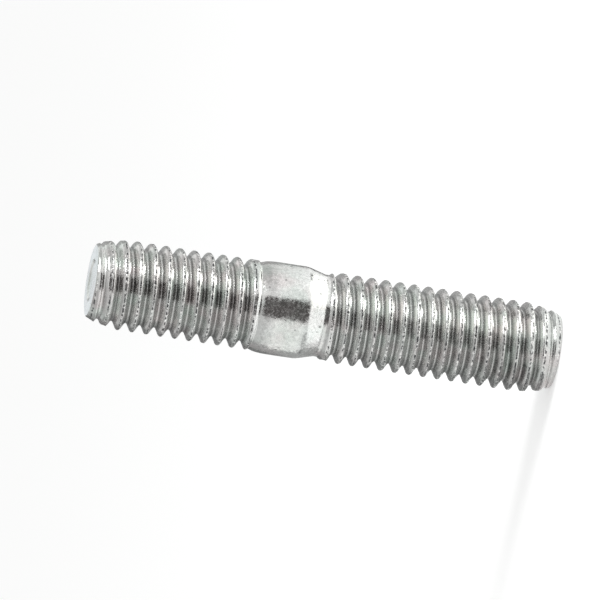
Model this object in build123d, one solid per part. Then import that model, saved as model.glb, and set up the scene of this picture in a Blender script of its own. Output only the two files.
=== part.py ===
from build123d import *
import math
import os

# Double ended stud: one piece of zinc plated steel, with a rolled right-hand
# thread at each end and a thicker plain shank between them. Sizes are in
# millimetres.
#
# The stud stands on its nut end. +Z runs along its axis from the nut end to the
# metal end, and the origin is the centre of the nut end's face. The places of
# both threads are given where they pass +X.

# Thread form, M8 coarse. The crest is 7.8 across, inside the 6g limits, and its
# flat gives a pitch diameter of 7.19. Each groove is a plain 60 degree V. It
# follows its helix in short straight sides, so that its flanks are flat facets
# and the stud stays light to draw. The crests are true cylinders.
pitch = 1.25
flank_angle = 30.0
crest_radius = 3.9
crest_flat = 0.27
sides_per_turn = 23

# Nut end, the long thread. The first crest is that far from the end face, and
# the groove keeps its full depth to the length below.
nut_thread_length = 19.6
nut_first_crest = 0.45
nut_groove_length = 19.8

# Metal end, the short thread that stays in the tapped hole
metal_thread_length = 14.1
metal_first_crest = 1.0
metal_groove_length = 13.65

# Sides in which each groove then rises out of the steel, about a quarter turn
runout_sides = 6
tool_clearance = 0.16

# Plain shank, from the rim at the nut end's thread up to the metal end's thread
rim_radius = 3.74
rim_length = 0.75
rim_slope = 0.15
neck_radius = 3.56
neck_length = 0.4
nut_cone_length = 1.6
shank_radius = 4.0
shank_length = 2.5
metal_cone_length = 1.5
metal_cone_radius = 3.7
thread_step = 0.1

# Ends: two slopes lead up to the crests, and rolling leaves a shallow cup
cup_radius = 1.9
cup_floor_radius = 1.6
cup_depth = 0.2
face_radius = 3.15
lead_in_radius = 3.5
lead_in_height = 0.75
lead_in_length = 2.8

# Heights of the sections, one above the other
rim_bottom = nut_thread_length + thread_step
rim_top = rim_bottom + rim_length
neck_bottom = rim_top + rim_slope
neck_top = neck_bottom + neck_length
shank_bottom = neck_top + nut_cone_length
shank_top = shank_bottom + shank_length
metal_cone_top = shank_top + metal_cone_length
metal_thread_bottom = metal_cone_top + thread_step
total_length = metal_thread_bottom + metal_thread_length


def end_outline():
    """Points from the axis to the first full crest, for an end face at height zero."""
    return [
        (0, cup_depth),
        (cup_floor_radius, cup_depth),
        (cup_radius, 0),
        (face_radius, 0),
        (lead_in_radius, lead_in_height),
        (crest_radius, lead_in_length),
    ]


def stud_blank():
    """The stud before its threads are rolled: half its section, turned once round."""
    nut_end = end_outline()
    metal_end = [(radius, total_length - height) for radius, height in reversed(end_outline())]
    shank = [
        (crest_radius, nut_thread_length),
        (rim_radius, rim_bottom),
        (rim_radius, rim_top),
        (neck_radius, neck_bottom),
        (neck_radius, neck_top),
        (shank_radius, shank_bottom),
        (shank_radius, shank_top),
        (metal_cone_radius, metal_cone_top),
        (crest_radius, metal_thread_bottom),
    ]
    section = make_face(Plane.XZ * Polyline(*nut_end, *shank, *metal_end, close=True))
    # The seam of the round faces lies half way between two folds of the grooves
    return revolve(section, axis=Axis.Z).rotate(Axis.Z, 180 / sides_per_turn)


def groove_bottom(first_crest, full_depth_end):
    """Corners of the groove's bottom, from outside an end face at height zero.

    The middles of the straight sides lie on the V's own radius, until the last
    few sides lead out of the steel.
    """
    v_depth = (pitch - crest_flat) / 2 / math.tan(math.radians(flank_angle))
    corner_radius = (crest_radius - v_depth) / math.cos(math.pi / sides_per_turn)
    side_rise = pitch / sides_per_turn
    start = first_crest - 1.5 * pitch
    full_sides = round((full_depth_end - start) / side_rise)
    step_out = (crest_radius + tool_clearance - corner_radius) / runout_sides
    corners = []
    for side in range(full_sides + runout_sides + 1):
        radius = corner_radius + step_out * max(0, side - full_sides)
        corner = Vector(radius, 0, start + side * side_rise)
        corners.append(corner.rotate(Axis.Z, 360 * side / sides_per_turn))
    return corners


def flank_edge(bottom, slope):
    """Outer corners of one flank, where its flat facets fold on each other.

    Each facet leaves a straight side of the bottom outwards at the slope. Two
    neighbours meet in a line that both planes share.
    """
    normals = []
    for start, end in zip(bottom, bottom[1:]):
        outward = Vector(start.X + end.X, start.Y + end.Y, 0).normalized()
        normals.append((end - start).cross(outward + Vector(0, 0, slope)))
    edge = []
    for corner, before, after in zip(bottom[1:], normals, normals[1:]):
        fold = before.cross(after)
        radius = math.hypot(corner.X, corner.Y)
        outward = Vector(corner.X / radius, corner.Y / radius, 0)
        reach = crest_radius + 2 * tool_clearance - radius
        edge.append(corner + fold * (reach / fold.dot(outward)))
    return edge


def facet(*corners):
    return Face(Wire.make_polygon(corners, close=True))


def groove_tool(first_crest, full_depth_end):
    """The steel that one right-hand groove takes away, with flat facets all over."""
    corners = groove_bottom(first_crest, full_depth_end)
    slope = math.tan(math.radians(flank_angle))
    upper = flank_edge(corners, slope)
    lower = flank_edge(corners, -slope)
    bottom = corners[1:-1]
    facets = [facet(bottom[0], upper[0], lower[0]), facet(bottom[-1], upper[-1], lower[-1])]
    for here, there in zip(range(len(bottom)), range(1, len(bottom))):
        facets.append(facet(bottom[here], bottom[there], upper[there], upper[here]))
        facets.append(facet(bottom[here], bottom[there], lower[there], lower[here]))
        facets.append(facet(upper[here], upper[there], lower[there]))
        facets.append(facet(upper[here], lower[there], lower[here]))
    return Solid(Shell(facets))


nut_groove = groove_tool(nut_first_crest, nut_groove_length)
metal_groove = groove_tool(metal_first_crest, metal_groove_length)
from_metal_end = Pos(0, 0, total_length) * Rot(180, 0, 0)
stud = stud_blank() - [nut_groove, from_metal_end * metal_groove]

os.makedirs("parts", exist_ok=True)
export_step(stud, "parts/stud.step")
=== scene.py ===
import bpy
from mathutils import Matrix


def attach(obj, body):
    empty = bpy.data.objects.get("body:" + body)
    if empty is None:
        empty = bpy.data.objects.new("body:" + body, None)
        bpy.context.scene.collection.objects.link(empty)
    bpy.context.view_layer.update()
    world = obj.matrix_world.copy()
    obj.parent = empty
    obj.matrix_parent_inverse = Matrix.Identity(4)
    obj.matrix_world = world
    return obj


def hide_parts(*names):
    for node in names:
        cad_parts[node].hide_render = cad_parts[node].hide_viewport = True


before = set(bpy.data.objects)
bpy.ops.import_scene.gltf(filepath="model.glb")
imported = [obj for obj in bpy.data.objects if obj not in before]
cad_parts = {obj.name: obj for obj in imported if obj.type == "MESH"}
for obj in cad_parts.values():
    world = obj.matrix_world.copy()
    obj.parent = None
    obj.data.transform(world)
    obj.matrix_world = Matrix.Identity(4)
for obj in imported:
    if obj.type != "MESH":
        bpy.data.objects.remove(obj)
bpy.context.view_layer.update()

from types import SimpleNamespace

import bpy
import numpy as np
from mathutils import Matrix, Vector

# Lengths are in millimetres, as in the part's source. Blender gets metres.
MM = 0.001
FULL_TURN = 2 * np.pi

# Thread form, with the rolled thread's rounded crests and roots
PITCH = 1.25
FLANK_ANGLE = np.radians(30.0)
FLANK_SLOPE = np.tan(FLANK_ANGLE)
CREST_RADIUS = 3.9
CREST_ROUND = 0.234
ROOT_RADIUS = 3.2
ROOT_ROUND = 0.15
# Where two flanks would meet if the root or the crest were sharp
SHARP_ROOT = ROOT_RADIUS + ROOT_ROUND - ROOT_ROUND / np.sin(FLANK_ANGLE)
SHARP_CREST = SHARP_ROOT + PITCH / 2 / FLANK_SLOPE
# How softly a crest meets the slopes at the ends and the shank's shoulders
CREST_BLEND = 0.02

# Places on each thread, counted from its own end face. From where its full depth ends, a
# groove rises out of the steel. It rises by the sharp groove's depth in this share of a turn,
# and on to the limit, as a share of that depth.
NUT_THREAD = {"first_crest": 0.45, "full_depth": 19.8, "from_top": False}
METAL_THREAD = {"first_crest": 1.0, "full_depth": 13.65, "from_top": True}
RUNOUT_TURNS = 100 / 360
RUNOUT_LIMIT = 1.3

# Outline of the stud without its threads, as heights and radii. Both ends have the same two
# slopes, and the outline goes on past their faces. Between the threads lie a rim, a neck, a
# cone, the plain shank and a second, fuller cone.
TOTAL = 40.8
RIM_RADIUS = 3.74
NECK_RADIUS = 3.56
SHANK_RADIUS = 4.0
END_SLOPES = [(-1.0, 2.6), (0.0, 3.15), (0.75, 3.5), (2.8, CREST_RADIUS)]
MIDDLE = [
    (19.6, CREST_RADIUS),
    (19.7, RIM_RADIUS),
    (20.25, RIM_RADIUS),
    (20.4, NECK_RADIUS),
    (20.8, NECK_RADIUS),
    (22.35, SHANK_RADIUS),
    (25.2, SHANK_RADIUS),
    (26.0, 3.93),
    (26.6, 3.72),
    (26.7, CREST_RADIUS),
]
OUTLINE = [*END_SLOPES, *MIDDLE, *((TOTAL - height, radius) for height, radius in reversed(END_SLOPES))]

# The outline's corners are crisp at the threads, and softly blended between these heights
OUTLINE_STEP = 0.01
CRISP_BLEND = 0.03
SOFT_BLEND = 0.3
SOFT_START = 21.0
SOFT_END = 26.3
SOFT_FADE = 0.3

# End face, as radii and depths: a soft rim, and the shallow cup that rolling leaves
END_RINGS = [
    (3.12, 0.03),
    (3.07, 0.005),
    (3.0, 0.0),
    (2.5, 0.0),
    (2.0, 0.005),
    (1.9, 0.02),
    (1.75, 0.08),
    (1.6, 0.14),
    (1.4, 0.17),
    (1.0, 0.19),
    (0.5, 0.198),
]
CUP_DEPTH = 0.2

# Depths of dents, and how far the crests' own dents reach from a crest line
BROAD_DENT = 0.006
CREST_DENT = 0.013
CREST_WEAR = 0.01
WEAR_WIDTH = 0.12
SHANK_DENT = 0.006
# Ripple of the end faces, which fades out towards a radius
FACE_RIPPLE = 0.01
RIPPLE_RADIUS = 3.2

# Vertices stand in columns round the stud. Rows of them follow each thread, closer together
# on the round crest and in the round root.
COLUMNS = 208
PHI = np.arange(COLUMNS) / COLUMNS * FULL_TURN
CREST_TO_ROOT = [0, 0.04, 0.11, 0.203, 0.35, 0.495, 0.56, PITCH / 2]
ROW_OFFSETS = np.array([*CREST_TO_ROOT, *(PITCH - offset for offset in reversed(CREST_TO_ROOT[1:-1]))])

# The rows that follow a thread run from the edge of its end face to a level row near the
# shank. Their vertices this near to a level row, or past it, are joined to it. From one zone
# to the other the rows lie level.
EDGE_HEIGHT = 0.06
NUT_ZONE_END = 20.4
METAL_ZONE_START = 26.1
SNAP = 0.025
SHANK_ROWS = 45


def rounded_outline(blend):
    """Heights and radii of the outline, with its corners blended over a length to either side."""
    height = np.arange(OUTLINE[0][0], OUTLINE[-1][0], OUTLINE_STEP)
    radius = np.interp(height, *zip(*OUTLINE))
    steps = round(blend / OUTLINE_STEP)
    window = np.ones(2 * steps + 1) / (2 * steps + 1)
    return height, np.convolve(np.pad(radius, steps, mode="edge"), window, "valid")


CRISP_OUTLINE = rounded_outline(CRISP_BLEND)
SOFT_OUTLINE = rounded_outline(SOFT_BLEND)


def envelope(z):
    """Radius of the stud without its threads."""
    crisp = np.interp(z, *CRISP_OUTLINE)
    soft = np.interp(z, *SOFT_OUTLINE)
    share = np.clip((z - SOFT_START) / SOFT_FADE, 0, 1) * np.clip((SOFT_END - z) / SOFT_FADE, 0, 1)
    return crisp * (1 - share) + soft * share


def smooth_min(a, b, width):
    """The lower of two values, with a rounded corner where they meet."""
    share = np.clip(0.5 + 0.5 * (b - a) / width, 0, 1)
    return b * (1 - share) + a * share - width * share * (1 - share)


def waves(phi, z, seed, count, around, along):
    """A sum of seeded waves, mostly between -1 and 1.

    Each wave has fewer than so many turns around the stud, and up to so many radians a
    millimetre along it.
    """
    pick = np.random.default_rng(seed)
    total = np.zeros(np.broadcast(phi, z).shape)
    for _ in range(count):
        turns = pick.integers(1, around)
        rate = pick.uniform(-along, along)
        total = total + np.sin(turns * phi + rate * z + pick.uniform(0, FULL_TURN))
    return total / np.sqrt(count)


def thread_radius(z, phi, first_crest, full_depth, from_top):
    """Radius of a thread, distance from its crest line, and depth in the groove from 0 to 1."""
    own = TOTAL - z if from_top else z
    turn = (-phi if from_top else phi) / FULL_TURN
    crests = (own - first_crest) / PITCH - turn
    from_crest = np.abs((crests - np.round(crests)) * PITCH)
    from_root = PITCH / 2 - from_crest

    # The groove: a round root between flat flanks, lifted where it runs out of the steel
    tangent = ROOT_ROUND * np.cos(FLANK_ANGLE)
    root = ROOT_RADIUS + ROOT_ROUND - np.sqrt(ROOT_ROUND**2 - np.minimum(from_root, tangent) ** 2)
    groove = np.where(from_root < tangent, root, SHARP_ROOT + from_root / FLANK_SLOPE)
    own_root = first_crest + (np.floor(crests) + 0.5 + turn) * PITCH
    runout = np.clip((own_root - full_depth) / (PITCH * RUNOUT_TURNS), 0, RUNOUT_LIMIT)
    groove = groove + runout * (SHARP_CREST - SHARP_ROOT)

    # The crest: a round cap on the flanks
    half_width = (SHARP_CREST - groove) * FLANK_SLOPE
    reach = np.clip(half_width, 0, CREST_ROUND)
    cap = CREST_RADIUS - CREST_ROUND + np.sqrt(CREST_ROUND**2 - reach**2)
    radius = np.where(half_width < CREST_ROUND * np.cos(FLANK_ANGLE), cap, groove)

    outside = envelope(z)
    radius = smooth_min(radius, outside, CREST_BLEND)
    depth = np.clip((outside - radius) / (CREST_RADIUS - ROOT_RADIUS), 0, 1)
    return radius, from_crest, depth


def dents(z, phi, from_crest):
    """Change of the radius, zero or less, where the steel is dented, mostly along the crests."""
    worn = np.exp(-((from_crest / WEAR_WIDTH) ** 2))
    broad = BROAD_DENT * waves(phi, z, seed=1, count=6, around=5, along=1.2)
    fine = CREST_DENT * waves(phi, z, seed=2, count=12, around=40, along=14.0)
    return np.minimum(broad + fine * worn - CREST_WEAR * worn, 0.0)


class Builder:
    """Collects vertices and faces, with each vertex's distance from the crest and its depth."""

    def __init__(self):
        self.points = []
        self.crest = []
        self.depth = []
        self.faces = []
        self.count = 0

    def add(self, radius, phi, z, crest=1.0, depth=0.0):
        """Adds vertices by radius, angle and height, and gives their numbers."""
        points = np.stack([radius * np.cos(phi), radius * np.sin(phi), z], axis=-1)
        shape = points.shape[:-1]
        first = self.count
        self.points.append(points.reshape(-1, 3))
        self.crest.append(np.broadcast_to(crest, shape).reshape(-1))
        self.depth.append(np.broadcast_to(depth, shape).reshape(-1))
        self.count += points.size // 3
        return np.arange(first, self.count).reshape(shape)

    def strip(self, *edges):
        """Faces whose corners lie in turn on four rows, without those that shrink to a line."""
        for corners in zip(*edges):
            kept = list(dict.fromkeys(int(corner) for corner in corners))
            if len(kept) > 2:
                self.faces.append(kept)

    def band(self, lower, upper):
        """Faces between two closed rows of vertices."""
        self.strip(lower, np.roll(lower, -1), np.roll(upper, -1), upper)

    def mesh(self, name):
        """A smooth mesh of what was collected, without the vertices that no face uses."""
        used = np.zeros(self.count, dtype=bool)
        used[np.concatenate(self.faces)] = True
        renumber = np.cumsum(used) - 1
        faces = [renumber[face].tolist() for face in self.faces]
        mesh = bpy.data.meshes.new(name)
        mesh.from_pydata((np.concatenate(self.points)[used] * MM).tolist(), [], faces)
        for attribute_name, values in (("crest_distance", self.crest), ("groove_depth", self.depth)):
            attribute = mesh.attributes.new(attribute_name, "FLOAT", "POINT")
            attribute.data.foreach_set("value", np.concatenate(values)[used].astype(np.float32))
        mesh.shade_smooth()
        mesh.validate()
        return mesh


def add_level_row(build, z, dent=0.0):
    height = np.full(COLUMNS, float(z))
    return build.add(envelope(height) + dent, PHI, height)


def add_thread_zone(build, low, high, low_row, high_row, thread):
    """Rows that follow a thread, between two level rows of vertices that exist already."""
    start = TOTAL - thread["first_crest"] if thread["from_top"] else thread["first_crest"]
    turns = np.arange(np.floor((low - start) / PITCH) - 2, np.ceil((high - start) / PITCH) + 1)
    base = (start + turns[:, None] * PITCH + ROW_OFFSETS).reshape(-1)
    height = base[:, None] + PITCH * PHI / FULL_TURN
    phi = np.broadcast_to(PHI, height.shape)
    radius, from_crest, depth = thread_radius(height, phi, **thread)
    radius = radius + dents(height, phi, from_crest)
    index = build.add(radius, phi, height, from_crest, depth)
    index = np.where(height < low + SNAP, low_row, index)
    index = np.where(height > high - SNAP, high_row, index)

    # Once round the stud, each row goes on as the row one pitch higher
    closing = np.full(len(base), high_row[0])
    closing[: -len(ROW_OFFSETS)] = index[len(ROW_OFFSETS) :, 0]
    following = np.column_stack([index[:, 1:], closing])
    for row in range(len(base) - 1):
        build.strip(index[row], following[row], following[row + 1], index[row + 1])


def add_end(build, edge_row, face, inward):
    """End face at a height, from its edge to the middle. Inward is 1 for up and -1 for down."""
    rows = [edge_row]
    for radius, depth in END_RINGS:
        ripple = FACE_RIPPLE * waves(PHI, radius * 2.0, seed=5, count=6, around=6, along=3.0)
        ripple = np.maximum(ripple * min(1.0, RIPPLE_RADIUS - radius), 0)
        rows.append(build.add(radius, PHI, face + inward * (depth + ripple)))
    middle = build.add(0.0, np.zeros(1), np.array([face + inward * CUP_DEPTH]))
    rows.append(np.repeat(middle, COLUMNS))
    for outer, inner in zip(rows, rows[1:]):
        lower, upper = (inner, outer) if inward > 0 else (outer, inner)
        build.band(lower, upper)


def make_stud():
    """The whole stud as one closed mesh."""
    build = Builder()
    bottom = add_level_row(build, EDGE_HEIGHT)
    nut_end = add_level_row(build, NUT_ZONE_END)
    metal_start = add_level_row(build, METAL_ZONE_START)
    top = add_level_row(build, TOTAL - EDGE_HEIGHT)
    add_end(build, bottom, 0.0, 1)
    add_thread_zone(build, EDGE_HEIGHT, NUT_ZONE_END, bottom, nut_end, NUT_THREAD)
    rows = [nut_end]
    for z in np.linspace(NUT_ZONE_END, METAL_ZONE_START, SHANK_ROWS)[1:-1]:
        dent = np.minimum(SHANK_DENT * waves(PHI, z, seed=3, count=8, around=6, along=2.0), 0)
        rows.append(add_level_row(build, z, dent))
    rows.append(metal_start)
    for lower, upper in zip(rows, rows[1:]):
        build.band(lower, upper)
    add_thread_zone(build, METAL_ZONE_START, TOTAL - EDGE_HEIGHT, metal_start, top, METAL_THREAD)
    add_end(build, top, TOTAL, -1)
    return build.mesh("stud_rolled")


class Nodes:
    """Short calls that add and join the shader nodes of a material or a world."""

    def __init__(self, owner):
        owner.use_nodes = True
        self.tree = owner.node_tree

    def __getitem__(self, name):
        return self.tree.nodes[name]

    def add(self, kind, **settings):
        node = self.tree.nodes.new(kind)
        for name, value in settings.items():
            setattr(node, name, value)
        return node

    def feed(self, socket, value):
        """Joins an output to a socket, or gives the socket a plain value."""
        if isinstance(value, bpy.types.NodeSocket):
            self.tree.links.new(value, socket)
        else:
            socket.default_value = value

    def math(self, operation, *values):
        node = self.add("ShaderNodeMath", operation=operation)
        for socket, value in zip(node.inputs, values):
            self.feed(socket, value)
        return node.outputs["Value"]

    def fold(self, operation, first, *others):
        """One operation over several values, such as their sum or product."""
        result = first
        for other in others:
            result = self.math(operation, result, other)
        return result

    def between(self, source, low, high, to_low=0.0, to_high=1.0, kind="LINEAR"):
        """Goes from to_low to to_high while the source goes from low to high, and no further."""
        node = self.add("ShaderNodeMapRange", interpolation_type=kind)
        self.feed(node.inputs["Value"], source)
        self.feed(node.inputs["From Min"], low)
        self.feed(node.inputs["From Max"], high)
        self.feed(node.inputs["To Min"], to_low)
        self.feed(node.inputs["To Max"], to_high)
        return node.outputs["Result"]

    def mix(self, factor, a, b, blend="MIX"):
        node = self.add("ShaderNodeMix", data_type="RGBA", blend_type=blend)
        self.feed(node.inputs["Factor"], factor)
        self.feed(node.inputs["A"], a)
        self.feed(node.inputs["B"], b)
        return node.outputs["Result"]

    def noise(self, place, scale, detail, roughness=0.55):
        """Noise from about 0.25 to 0.75. The scale counts its waves in a unit of the place."""
        node = self.add("ShaderNodeTexNoise")
        self.feed(node.inputs["Vector"], place)
        self.feed(node.inputs["Scale"], scale)
        self.feed(node.inputs["Detail"], detail)
        self.feed(node.inputs["Roughness"], roughness)
        return node.outputs["Fac"]


# Colours of the plated steel
PINKER_PLATING = (0.74, 0.695, 0.69, 1)
GREENER_PLATING = (0.675, 0.72, 0.685, 1)
GREY_PLATING = (0.62, 0.63, 0.62, 1)
BURR = (0.9, 0.9, 0.88, 1)
TORN_STEEL = (0.09, 0.092, 0.095, 1)

# On the threads, no vertex is further than half a pitch from a crest line. On the shank and
# the end faces the stored distance is 1, so this range tells them apart.
OFF_THREADS = (0.7, 0.9)
RELIEF_HEIGHT = 0.06


def rolling_streaks(nodes, place, depth):
    """Faint streaks along the helix, from noise that is squeezed across the flanks."""
    across = nodes.add("ShaderNodeCombineXYZ")
    nodes.feed(across.inputs["X"], nodes.math("MULTIPLY", depth, 9.0))
    along = nodes.add("ShaderNodeVectorMath", operation="SCALE")
    nodes.feed(along.inputs["Vector"], place)
    nodes.feed(along.inputs["Scale"], 260.0)
    lanes = nodes.add("ShaderNodeVectorMath", operation="ADD")
    nodes.feed(lanes.inputs[0], across.outputs["Vector"])
    nodes.feed(lanes.inputs[1], along.outputs["Vector"])
    return nodes.noise(lanes.outputs["Vector"], scale=1.0, detail=3.0, roughness=0.5)


def steel_fields(nodes):
    """What the steel's looks go by: place, crest and groove, and noise of several sizes."""
    place = nodes.add("ShaderNodeTexCoord").outputs["Object"]
    crest = nodes.add("ShaderNodeAttribute", attribute_name="crest_distance").outputs["Fac"]
    depth = nodes.add("ShaderNodeAttribute", attribute_name="groove_depth").outputs["Fac"]
    return SimpleNamespace(
        place=place,
        crest=crest,
        depth=depth,
        patches=nodes.noise(place, scale=260.0, detail=4.0),
        tint=nodes.noise(place, scale=420.0, detail=2.0),
        grain=nodes.noise(place, scale=5200.0, detail=2.0),
        flecks=nodes.noise(place, scale=3600.0, detail=2.0),
        wander=nodes.noise(place, scale=2400.0, detail=2.0),
        streaks=rolling_streaks(nodes, place, depth),
    )


def plating_colour(nodes, steel):
    """Light grey, pinker in some places and greener in others, with painted shade that darkens the
    grooves.
    """
    tinted = nodes.mix(nodes.between(steel.tint, 0.38, 0.62), PINKER_PLATING, GREENER_PLATING)
    plating = nodes.mix(nodes.between(steel.patches, 0.3, 0.7), tinted, GREY_PLATING)
    # Painted shade: a darker line lies on each side of the root, at four fifths of the depth
    from_root_shade_line = nodes.math("ABSOLUTE", nodes.math("SUBTRACT", steel.depth, 0.8))
    specks = nodes.between(steel.flecks, 0.3, 0.7, 0.86, 1.12)
    brightness = nodes.fold(
        "MULTIPLY",
        # Painted shade: darker deeper in the groove
        nodes.between(steel.depth, 0.4, 0.95, 1.0, 0.84),
        nodes.between(from_root_shade_line, 0.03, 0.17, 0.6, 1.0),
        nodes.between(steel.streaks, 0.32, 0.68, 0.78, 1.14),
        nodes.between(steel.grain, 0.3, 0.7, 0.9, 1.07),
        nodes.math("POWER", specks, nodes.between(steel.crest, *OFF_THREADS)),
    )
    grey = nodes.add("ShaderNodeCombineColor")
    for channel in ("Red", "Green", "Blue"):
        nodes.feed(grey.inputs[channel], brightness)
    return nodes.mix(1.0, plating, grey.outputs["Color"], "MULTIPLY")


def torn_crests(nodes, steel):
    """Shares of a dotted dark seam, which wanders along the crest, and of bright burrs by it."""
    offset = nodes.between(steel.wander, 0.25, 0.75, -0.06, 0.06)
    from_seam = nodes.math("ABSOLUTE", nodes.math("ADD", steel.crest, offset))
    on_seam = nodes.between(from_seam, 0.03, 0.085, 1.0, 0.0)
    torn = nodes.math("MULTIPLY", on_seam, nodes.between(steel.flecks, 0.47, 0.55))
    near_crest = nodes.between(steel.crest, 0.08, 0.18, 1.0, 0.0)
    burrs = nodes.math("MULTIPLY", near_crest, nodes.between(steel.flecks, 0.36, 0.42, 1.0, 0.0))
    return torn, burrs


def fine_pits(nodes, steel):
    """Share of pits: the middles of some cells, and of more cells on the shank."""
    cells = nodes.add("ShaderNodeTexVoronoi")
    nodes.feed(cells.inputs["Vector"], steel.place)
    nodes.feed(cells.inputs["Scale"], 1500.0)
    draw = nodes.add("ShaderNodeSeparateColor")
    nodes.feed(draw.inputs["Color"], cells.outputs["Color"])
    least = nodes.between(steel.crest, *OFF_THREADS, 0.86, 0.5)
    picked = nodes.math("SUBTRACT", draw.outputs["Red"], least)
    in_middle = nodes.between(cells.outputs["Distance"], 0.08, 0.2, 1.0, 0.0)
    return nodes.math("MULTIPLY", in_middle, nodes.between(picked, 0.0, 0.04))


def plated_steel():
    """Bright zinc plating: uneven grey metal, dark specks on torn crests, and fine pits."""
    material = bpy.data.materials.new("zinc_plated_steel")
    nodes = Nodes(material)
    shader = nodes["Principled BSDF"]
    shader.inputs["Metallic"].default_value = 1.0
    steel = steel_fields(nodes)

    torn, burrs = torn_crests(nodes, steel)
    torn = nodes.math("MAXIMUM", torn, nodes.math("MULTIPLY", fine_pits(nodes, steel), 0.5))
    plating = nodes.mix(burrs, plating_colour(nodes, steel), BURR)
    nodes.feed(shader.inputs["Base Color"], nodes.mix(torn, plating, TORN_STEEL))

    rough = nodes.fold(
        "ADD",
        nodes.between(steel.grain, 0.35, 0.65, 0.1, 0.31),
        nodes.math("MULTIPLY", steel.depth, 0.03),
        nodes.math("MULTIPLY", nodes.math("ADD", torn, burrs), 0.2),
    )
    nodes.feed(shader.inputs["Roughness"], rough)

    relief = nodes.fold(
        "ADD",
        nodes.math("MULTIPLY", steel.grain, nodes.between(steel.depth, 0.1, 0.5, 0.24, 0.12)),
        steel.patches,
        nodes.math("MULTIPLY", steel.streaks, 0.3),
        nodes.math("MULTIPLY", burrs, 0.3),
        nodes.math("MULTIPLY", torn, -0.6),
    )
    bump = nodes.add("ShaderNodeBump")
    nodes.feed(bump.inputs["Strength"], 0.5)
    nodes.feed(bump.inputs["Distance"], RELIEF_HEIGHT * MM)
    nodes.feed(bump.inputs["Height"], relief)
    nodes.feed(shader.inputs["Normal"], bump.outputs["Normal"])
    return material


stud = bpy.data.objects.new("stud_rolled", make_stud())
bpy.context.scene.collection.objects.link(stud)
stud.data.materials.append(plated_steel())
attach(stud, "root")
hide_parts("stud")

FLOOR_REACH = 3000
FLOOR_GLOW = 0.36
ARC_POINTS = 9
ARC_HEIGHT = 0.35


def pale_floor():
    """Matt and pale, with a glow to the camera and to reflections, which keeps shadows faint."""
    material = bpy.data.materials.new("pale_floor")
    nodes = Nodes(material)
    shader = nodes["Principled BSDF"]
    shader.inputs["Base Color"].default_value = (0.8, 0.8, 0.8, 1)
    shader.inputs["Roughness"].default_value = 0.7
    shader.inputs["Specular IOR Level"].default_value = 0.0
    path = nodes.add("ShaderNodeLightPath").outputs
    seen = nodes.fold("ADD", path["Is Camera Ray"], path["Is Glossy Ray"], path["Is Transmission Ray"])
    glow = nodes.add("ShaderNodeEmission")
    nodes.feed(glow.inputs["Strength"], nodes.math("MULTIPLY", seen, FLOOR_GLOW))
    both = nodes.add("ShaderNodeAddShader")
    nodes.feed(both.inputs[0], shader.outputs["BSDF"])
    nodes.feed(both.inputs[1], glow.outputs["Emission"])
    nodes.feed(nodes["Material Output"].inputs["Surface"], both.outputs["Shader"])
    return material


def card_glow(name, colour, strength):
    """An even glow, and nothing else."""
    material = bpy.data.materials.new(name)
    nodes = Nodes(material)
    nodes.tree.nodes.remove(nodes["Principled BSDF"])
    glow = nodes.add("ShaderNodeEmission")
    glow.inputs["Color"].default_value = (*colour, 1)
    glow.inputs["Strength"].default_value = strength
    nodes.feed(nodes["Material Output"].inputs["Surface"], glow.outputs["Emission"])
    return material


def flat_board(name, corners, material):
    mesh = bpy.data.meshes.new(name)
    mesh.from_pydata([Vector(corner) * MM for corner in corners], [], [tuple(range(len(corners)))])
    board = bpy.data.objects.new(name, mesh)
    board.data.materials.append(material)
    bpy.context.scene.collection.objects.link(board)
    return board


def level(height, *points):
    """Corners of a board that lies level at a height."""
    return [(*point, height) for point in points]


def upright(start, end, low, high):
    """Corners of a board that stands on end over a line on the floor."""
    return [(*start, low), (*end, low), (*end, high), (*start, high)]


def arc(first_angle, last_angle, inner, outer):
    """Corners of a level arc round the stud's foot, by its angles from +X in degrees."""
    angles = np.radians(np.linspace(first_angle, last_angle, ARC_POINTS))
    inside = [(inner * np.cos(angle), inner * np.sin(angle)) for angle in angles]
    outside = [(outer * np.cos(angle), outer * np.sin(angle)) for angle in angles[::-1]]
    return level(ARC_HEIGHT, *inside, *outside)


# Glows of the cards, from the darkest to the brightest, as colour and strength
WHITE = (1.0, 1.0, 1.0)
GLOWS = {
    "dark_card": ((1.0, 0.94, 0.93), 0.12),
    "dim_card": (WHITE, 0.18),
    "shade_card": (WHITE, 0.22),
    "foot_card": (WHITE, 0.26),
    "half_card": (WHITE, 0.45),
    "grey_card": (WHITE, 0.6),
    "end_card": ((0.93, 0.97, 1.0), 1.0),
    "pale_card": ((1.0, 1.0, 0.98), 1.3),
    "ring_card": (WHITE, 1.6),
    "bright_card": ((1.0, 1.0, 0.97), 1.95),
}

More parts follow.
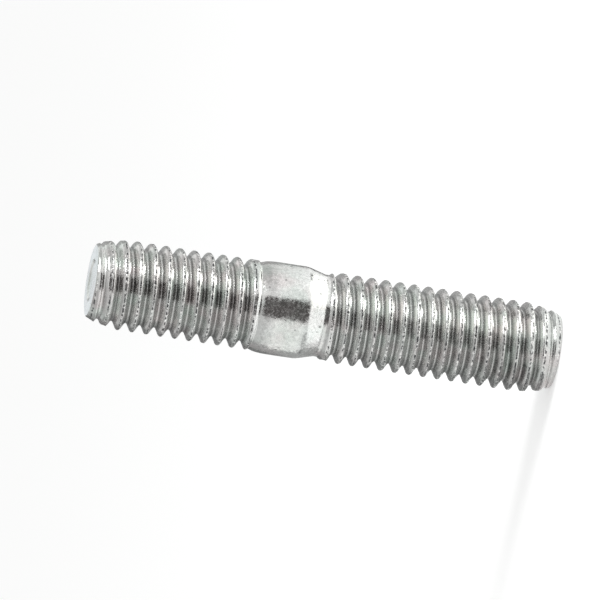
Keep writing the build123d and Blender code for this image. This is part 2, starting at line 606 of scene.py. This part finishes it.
# Cards round the stud, each with its glow and corners. In the photo's view -Y is in front of
# the stud, +X is above it and -X below. Cards that overlap lie at different heights.
CARDS = [
    # In front: the dark band along the middle of the stud
    ("front_card", "dark_card", upright((-43, -100), (55, -100), 0, 80)),
    ("front_strip", "dark_card", level(0.4, (-43, -100), (55, -100), (22, -38), (-17, -38))),
    ("slat_13", "dark_card", upright((-5.59, -13), (7.15, -13), 0.0, 1.5)),
    ("slat_21", "dark_card", upright((-9.03, -21), (11.55, -21), 0.0, 3.4)),
    # Beside the foot: bright flanks above the dark band, and dimmer ones above those and below it
    ("high_card", "bright_card", level(0.2, (1.5, -34), (70, -34), (70, -3.5), (5, -0.5))),
    ("upper_wedge", "dim_card", level(0.2, (6, 1), (70, 2), (70, 50), (10, 8))),
    ("low_card", "grey_card", level(0.15, (-2, -34), (-70, -34), (-70, 8), (-5, 0))),
    ("foot_shade", "foot_card", arc(130, 225, 4.6, 24)),
    # Behind: the darker edges of the threads, and the pale end face
    ("back_low_wall", "shade_card", upright((-15, 150), (-110, 131), 0, 100)),
    ("side_low_wall", "half_card", upright((-110, 131), (-210, 60), 0, 100)),
    ("near_low_floor", "shade_card", level(0.3, (-8, 25), (-10, 70), (-80, 24), (-45, 12))),
    ("far_low_floor", "half_card", level(0.3, (-10, 70), (-15, 150), (-110, 131), (-210, 60), (-80, 24))),
    ("back_high_floor", "shade_card", level(0.3, (3, 20), (3, 150), (87, 150), (12, 20))),
    ("back_high_wall", "half_card", upright((15, 150), (120, 130), 0, 100)),
    ("back_end_wall", "end_card", upright((-15, 150), (15, 150), 0, 130)),
    # Arcs on the floor: the white band round the nut end's cone, and the shank's lower half
    ("ring_low", "ring_card", arc(180, 288, 24, 38)),
    ("cone_low", "half_card", arc(128, 170, 40, 62)),
    ("ring_high", "bright_card", arc(-8, 45, 34, 56)),
    ("ring_shank", "pale_card", arc(150, 255, 125, 210)),
]


def make_card(name, corners, material):
    """A card that only shows in reflections. It lights nothing and casts no shadow."""
    card = flat_board(name, corners, material)
    card.visible_camera = False
    card.visible_diffuse = False
    card.visible_shadow = False
    card.visible_transmission = False


floor_corners = level(
    0,
    (-FLOOR_REACH, -FLOOR_REACH),
    (FLOOR_REACH, -FLOOR_REACH),
    (FLOOR_REACH, FLOOR_REACH),
    (-FLOOR_REACH, FLOOR_REACH),
)
flat_board("floor", floor_corners, pale_floor())
glows = {name: card_glow(name, colour, strength) for name, (colour, strength) in GLOWS.items()}
for name, glow, corners in CARDS:
    make_card(name, corners, glows[glow])


def make_world():
    """The pale walls of a light tent, dimmer overhead and towards either end of X."""
    world = bpy.data.worlds.new("studio")
    nodes = Nodes(world)
    direction = nodes.add("ShaderNodeSeparateXYZ")
    nodes.feed(direction.inputs["Vector"], nodes.add("ShaderNodeTexCoord").outputs["Generated"])
    brightness = nodes.fold(
        "MULTIPLY",
        nodes.between(direction.outputs["Z"], 0.35, 0.9, 1.2, 0.75, "SMOOTHSTEP"),
        nodes.between(direction.outputs["X"], -0.7, 0.3, 0.6, 1.0, "SMOOTHSTEP"),
        nodes.between(direction.outputs["X"], 0.4, 0.9, 1.0, 0.6, "SMOOTHSTEP"),
    )
    nodes.feed(nodes["Background"].inputs["Color"], (0.985, 0.99, 0.985, 1))
    nodes.feed(nodes["Background"].inputs["Strength"], brightness)
    return world


bpy.context.scene.world = make_world()

# Key light: a soft square lamp above, in front and on the +X side, aimed near the stud's foot
KEY_PLACE = Vector((150, -70, 190))
KEY_TARGET = Vector((10, -10, 0))
KEY_SIZE = 90
KEY_WATTS = 0.24
key = bpy.data.lights.new("key", "AREA")
key.shape = "SQUARE"
key.size = KEY_SIZE * MM
key.energy = KEY_WATTS
lamp = bpy.data.objects.new("key", key)
lamp.location = KEY_PLACE * MM
lamp.rotation_euler = (KEY_TARGET - KEY_PLACE).to_track_quat("-Z", "Y").to_euler()
bpy.context.scene.collection.objects.link(lamp)

# Camera: it looks a little down on the stud, and is rolled, so that the stud lies across the
# picture. The picture's middle is a little left of the stud's middle, and above it.
LOOK_DOWN = np.radians(8.75)
ROLL = np.radians(171.2)
DISTANCE = 1000.0
PICTURE_WIDTH = 51.59
PICTURE_LEFT = 2.02
PICTURE_UP = 1.38
SENSOR_WIDTH = 36.0
look = Vector((0, np.cos(LOOK_DOWN), -np.sin(LOOK_DOWN)))
stud_axis = Vector((0, np.sin(LOOK_DOWN), np.cos(LOOK_DOWN)))
stud_side = Vector((1, 0, 0))
right = stud_axis * float(np.cos(ROLL)) + stud_side * float(np.sin(ROLL))
up = right.cross(look)
camera_data = bpy.data.cameras.new("camera")
camera_data.sensor_width = SENSOR_WIDTH
camera_data.lens = SENSOR_WIDTH * DISTANCE / PICTURE_WIDTH
camera_data.clip_start = 10 * MM
camera_data.clip_end = 30000 * MM
camera = bpy.data.objects.new("camera", camera_data)
centre = Vector((0, 0, TOTAL / 2))
position = centre - look * DISTANCE - right * PICTURE_LEFT + up * PICTURE_UP
rotation = Matrix((right, up, -look)).transposed().to_4x4()
camera.matrix_world = Matrix.Translation(position * MM) @ rotation
bpy.context.scene.collection.objects.link(camera)
bpy.context.scene.camera = camera

bpy.context.scene.view_settings.view_transform = "Standard"
